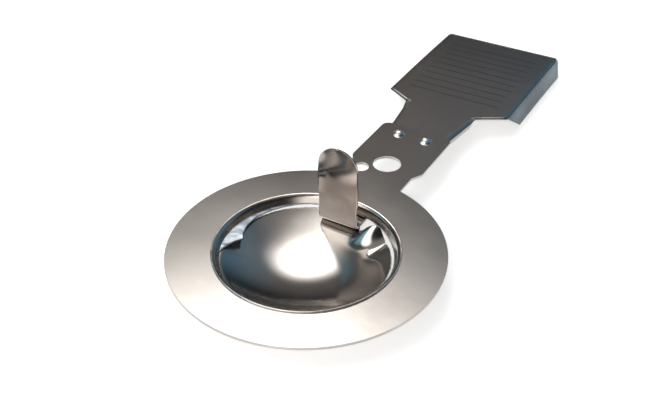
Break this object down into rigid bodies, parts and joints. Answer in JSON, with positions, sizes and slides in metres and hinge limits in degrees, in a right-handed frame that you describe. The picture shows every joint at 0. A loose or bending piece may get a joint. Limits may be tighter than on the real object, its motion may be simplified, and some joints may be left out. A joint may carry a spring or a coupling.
{
  "type": "rupture disc",
  "caption": "Burst reverse-acting rupture disc: flange with dished petal, upright hinge tongue, neck and riveted metal name tag.",
  "frame": {"origin": "disc axis, in the upper seating face of the flange", "axes": "+Z out of the outlet side along the disc axis, +Y along the neck towards the name tag"},
  "size_m": [0.078, 0.1855, 0.0319],
  "materials": {
    "stainless_sheet": "brushed",
    "hinge_sheet": "bright rolled",
    "tag_sheet": "dull printed sheet",
    "rivet_metal": "polished"
  },
  "bodies": {
    "root": {"disc_sheet": "stainless_sheet", "hinge_ring": "hinge_sheet", "name_tag": "tag_sheet", "rivet_left": "rivet_metal", "rivet_right": "rivet_metal"}
  },
  "joints": []
}
